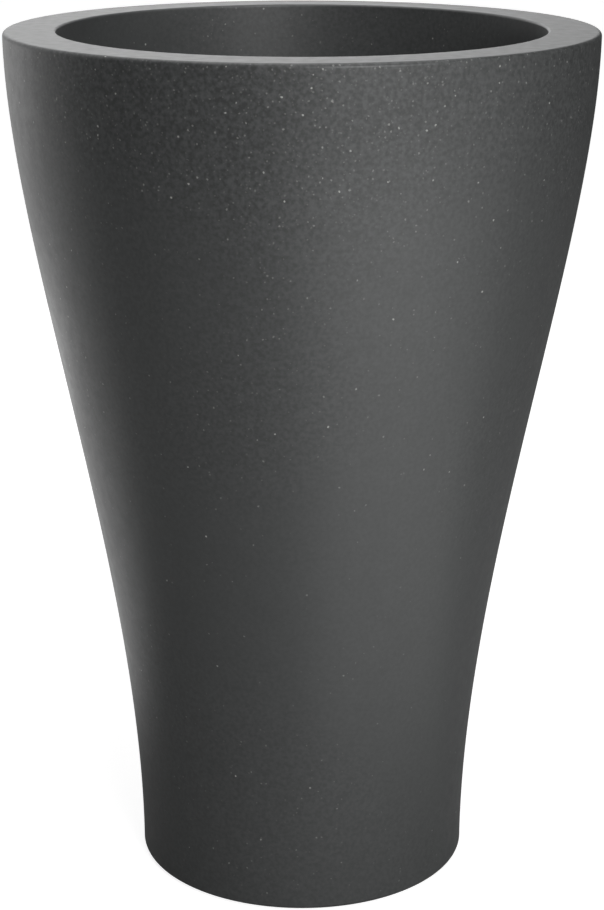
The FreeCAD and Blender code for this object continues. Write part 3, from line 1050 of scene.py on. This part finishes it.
class PLANTER_OT_handles(bpy.types.Operator):
    """Model the two swing handles of the inner pot"""

    bl_idname = "planter.handles"
    bl_label = "Handles"

    def execute(self, context):
        sizes = context.scene.planter_handles
        pot = context.scene.planter_pot
        plastic = moulded_material("handle_finish", "handle_plastic",
                                   roughness=0.45, gloss=0.45, grain=0.0009)
        right = handle_bar(sizes)
        self.add_ends(right, sizes, pot)
        make_active(right)
        bpy.ops.object.duplicate()
        left = context.object
        turn_half(left, keep_first=False)
        rename(right, "handle_right")
        rename(left, "handle_left")
        fit_to_frame(right, plastic, "lift_handle_right", "lift_handle_right")
        fit_to_frame(left, plastic, "lift_handle_left", "lift_handle_left")
        return {"FINISHED"}

    def add_ends(self, handle, sizes, pot):
        """Joins an eye and a pivot pin to each end of the bar."""
        pivot = pivot_place(sizes)
        half = sizes.span / 2
        tip = ear_far_face(pot, sizes)
        for side in (-1, 1):
            inner = (pivot.x, side * (half - sizes.bar_radius), pivot.z)
            outer = (pivot.x, side * (half + sizes.bar_radius), pivot.z)
            eye = rod("eye", sizes.eye_radius, inner, outer, sizes.eye_steps)
            soften(eye, sizes.eye_edge)
            combine(handle, eye, "UNION")
            root = (pivot.x, side * half, pivot.z)
            end = (pivot.x, side * tip, pivot.z)
            pin = rod("pin", sizes.pivot_radius, root, end, sizes.bar_steps)
            soften(pin, sizes.eye_edge / 2)
            combine(handle, pin, "UNION")


class PLANTER_OT_grid(bpy.types.Operator):
    """Model the perforated drain grid on its legs"""

    bl_idname = "planter.grid"
    bl_label = "Grid"

    def execute(self, context):
        sizes = context.scene.planter_grid
        under = GRID_HIGH.z - sizes.thickness
        plate = turned("grid", [(0, under, 0),
                                (GRID_HIGH.x, under, sizes.edge),
                                (GRID_HIGH.x, GRID_HIGH.z, sizes.edge),
                                (0, GRID_HIGH.z, 0)], sizes.segments)
        rings = int((GRID_HIGH.x - sizes.margin - sizes.hole_radius) / sizes.pitch)
        places = []
        for ring in range(1, rings + 1):
            if ring != sizes.leg_ring:
                places += ring_places(ring * sizes.pitch, ring * sizes.first_ring)
        below = (0, 0, under - SINK)
        above = (0, 0, GRID_HIGH.z + SINK)
        holes = rod("holes", sizes.hole_radius, below, above, sizes.hole_steps)
        repeat_at(holes, places)
        combine(plate, holes, "DIFFERENCE")
        inner = sizes.leg_radius - sizes.leg_wall
        legs = turned("legs", [(inner, GRID_LOW.z, 0),
                               (sizes.leg_radius, GRID_LOW.z, 0),
                               (sizes.leg_radius, under + SINK, 0),
                               (inner, under + SINK, 0),
                               (inner, GRID_LOW.z, 0)], sizes.leg_steps)
        repeat_at(legs, ring_places(sizes.leg_ring * sizes.pitch, sizes.leg_count))
        combine(plate, legs, "UNION")
        plastic = moulded_material("grid_finish", "grid_plastic",
                                   roughness=0.5, gloss=0.4, grain=0.0009)
        fit_to_frame(plate, plastic, "drain_grid", "drain_grid")
        return {"FINISHED"}


WHITE = (1.0, 1.0, 1.0, 1.0)

# Painted screens, a white glow seen only in reflections of the floor and the sky, begin and are full at
# these products of a heading's X and Y
FLOOR_PAINTED_SCREENS = (0.0, -0.25)
WORLD_PAINTED_SCREENS = (0.25, -0.1)

# Lamps: degrees from the camera towards +X, degrees up, distance, width, height in metres, and radiance
LAMPS = {
    "key_lamp": (26, 23, 3.3, 1.2, 1.2, 6.5),
    "front_key": (17, 25, 3.3, 1.0, 1.0, 9.2),
    "low_key": (26, -14, 1.4, 1.6, 0.3, 2.7),
    "left_strip": (-128, 4, 2.5, 1.0, 0.9, 0.8),
    "floor_strip": (-140, -14, 1.6, 0.8, 0.2, 1.0),
    "back_lamp": (-177, 25, 2.8, 2.4, 1.4, 1.15),
    "top_lamp": (0, 89.9, 2.0, 1.6, 1.6, 2.65),
}


class PLANTER_OT_stage(bpy.types.Operator):
    """Set the floor, the surroundings, the lamps and the camera"""

    bl_idname = "planter.stage"
    bl_label = "Stage"

    def execute(self, context):
        settings = context.scene.planter_stage
        context.scene.view_settings.view_transform = "Standard"
        self.add_floor(settings)
        self.set_world(context.scene, settings)
        for name, lamp in LAMPS.items():
            self.add_lamp(name, settings, *lamp)
        start_fresh()
        bpy.ops.object.camera_add(location=(0, -settings.distance, settings.camera_height),
                                  rotation=(QUARTER_TURN - settings.pitch, 0, 0))
        camera = context.object
        camera.data.lens = settings.lens
        context.scene.camera = camera
        return {"FINISHED"}

    def screens(self, tree, direction, edges):
        """1 towards the painted screens, which glow only in reflections, behind to the left and in front to
        the right, 0 between them.
        """
        heading = vector_node(tree, "NORMALIZE", levelled(tree, direction))
        parts = add_node(tree, "ShaderNodeSeparateXYZ", {"Vector": heading.outputs["Vector"]})
        crossed = product(tree, parts.outputs["X"], parts.outputs["Y"])
        return remapped(tree, crossed, edges, (0.0, 1.0), True)

    def shown(self, tree, to_eye, in_gloss):
        """One strength for the camera, directly or through glass, and another one for reflections."""
        path = add_node(tree, "ShaderNodeLightPath")
        seen = worked_out(tree, "MAXIMUM",
                          path.outputs["Is Camera Ray"], path.outputs["Is Transmission Ray"])
        eye = product(tree, seen, to_eye)
        gloss = product(tree, path.outputs["Is Glossy Ray"], in_gloss)
        return worked_out(tree, "ADD", eye, gloss)

    def add_floor(self, settings):
        """A white floor that keeps a soft shadow round the planter; in reflections it glows only towards the
        painted screens, with painted shade round the planter.
        """
        start_fresh()
        bpy.ops.mesh.primitive_plane_add(size=settings.floor_size)
        floor = bpy.context.object
        floor.name = "studio_floor"
        material, tree, shader = new_material("studio_floor_paint")
        shader.inputs["Base Color"].default_value = settings.floor_paint
        shader.inputs["Roughness"].default_value = 1.0
        shader.inputs["Specular IOR Level"].default_value = 0.0
        shader.inputs["Emission Color"].default_value = WHITE
        place = add_node(tree, "ShaderNodeTexCoord").outputs["Object"]
        radius = vector_node(tree, "LENGTH", place).outputs["Value"]
        shade = settings.painted_shade_radius
        blur = shade * settings.painted_shade_blur
        white = remapped(tree, radius, (shade, settings.white_radius), (settings.floor_white, 1.0), True)
        # Painted shade: the floor's glow in reflections is left out round the planter
        clear = remapped(tree, radius, (shade - blur, shade + blur), (0.0, 1.0), True)
        # Painted reflection: the floor glows in gloss only towards the painted screens, outside the painted
        # shade round the planter
        glow = self.shown(tree, white, product(tree, self.screens(tree, place, FLOOR_PAINTED_SCREENS), clear))
        tree.links.new(glow, shader.inputs["Emission Strength"])
        floor.data.materials.append(material)

    def set_world(self, scene, settings):
        """White surroundings to the eye, painted screens that glow only in reflections, and little light on
        matt surfaces.
        """
        world = bpy.data.worlds.new("studio")
        world.use_nodes = True
        scene.world = world
        tree = world.node_tree
        background = tree.nodes["Background"]
        background.inputs["Color"].default_value = WHITE
        direction = add_node(tree, "ShaderNodeTexCoord").outputs["Generated"]
        # Painted reflection: the sky glows in gloss only towards the painted screens
        glow = self.shown(tree, 1.0, self.screens(tree, direction, WORLD_PAINTED_SCREENS))
        strength = worked_out(tree, "MAXIMUM", glow, settings.ambient)
        tree.links.new(strength, background.inputs["Strength"])

    def add_lamp(self, name, settings, azimuth, elevation, distance, width, height, radiance):
        """A soft rectangular lamp that points at the planter and isn't seen itself."""
        turn = math.radians(azimuth)
        rise = math.radians(elevation)
        level = math.cos(rise)
        direction = Vector((math.sin(turn) * level, -math.cos(turn) * level, math.sin(rise)))
        place = Vector((0, 0, settings.lamp_target)) + direction * distance
        start_fresh()
        bpy.ops.object.light_add(type="AREA", location=place,
                                 rotation=direction.to_track_quat("Z", "Y").to_euler())
        lamp = bpy.context.object
        lamp.name = name
        lamp.data.shape = "RECTANGLE"
        lamp.data.size = width
        lamp.data.size_y = height
        lamp.data.energy = radiance * math.pi * width * height
        lamp.visible_camera = False


class PLANTER_PT_sidebar(bpy.types.Panel):
    """Lists the planter's pieces in the sidebar"""

    bl_idname = "PLANTER_PT_sidebar"
    bl_label = "Planter"
    bl_space_type = "VIEW_3D"
    bl_region_type = "UI"
    bl_category = "Planter"

    def draw(self, context):
        for operator in OPERATORS:
            self.layout.operator(operator.bl_idname)


OPERATORS = (
    PLANTER_OT_vase,
    PLANTER_OT_rim,
    PLANTER_OT_glides,
    PLANTER_OT_drain_bush,
    PLANTER_OT_plug_seal,
    PLANTER_OT_drain_plug,
    PLANTER_OT_inner_pot,
    PLANTER_OT_handles,
    PLANTER_OT_grid,
    PLANTER_OT_stage,
)
SETTINGS = {
    "planter_vase": VaseSizes,
    "planter_glides": GlideSizes,
    "planter_drain": DrainSizes,
    "planter_pot": PotSizes,
    "planter_handles": HandleSizes,
    "planter_grid": GridSizes,
    "planter_stone": StoneFinish,
    "planter_stage": StageSettings,
}


def register():
    """Makes the settings, the operators and the panel known to Blender."""
    for group in SETTINGS.values():
        bpy.utils.register_class(group)
    for name, group in SETTINGS.items():
        setattr(bpy.types.Scene, name, PointerProperty(type=group))
    for operator in OPERATORS:
        bpy.utils.register_class(operator)
    bpy.utils.register_class(PLANTER_PT_sidebar)


def unregister():
    """Takes them away again, in the opposite order."""
    bpy.utils.unregister_class(PLANTER_PT_sidebar)
    for operator in reversed(OPERATORS):
        bpy.utils.unregister_class(operator)
    for name, group in reversed(SETTINGS.items()):
        delattr(bpy.types.Scene, name)
        bpy.utils.unregister_class(group)


def main():
    """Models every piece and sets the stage."""
    register()
    bpy.ops.planter.vase()
    bpy.ops.planter.rim()
    bpy.ops.planter.glides()
    bpy.ops.planter.drain_bush()
    bpy.ops.planter.plug_seal()
    bpy.ops.planter.drain_plug()
    bpy.ops.planter.inner_pot()
    bpy.ops.planter.handles()
    bpy.ops.planter.grid()
    bpy.ops.planter.stage()


if __name__ == "__main__":
    main()
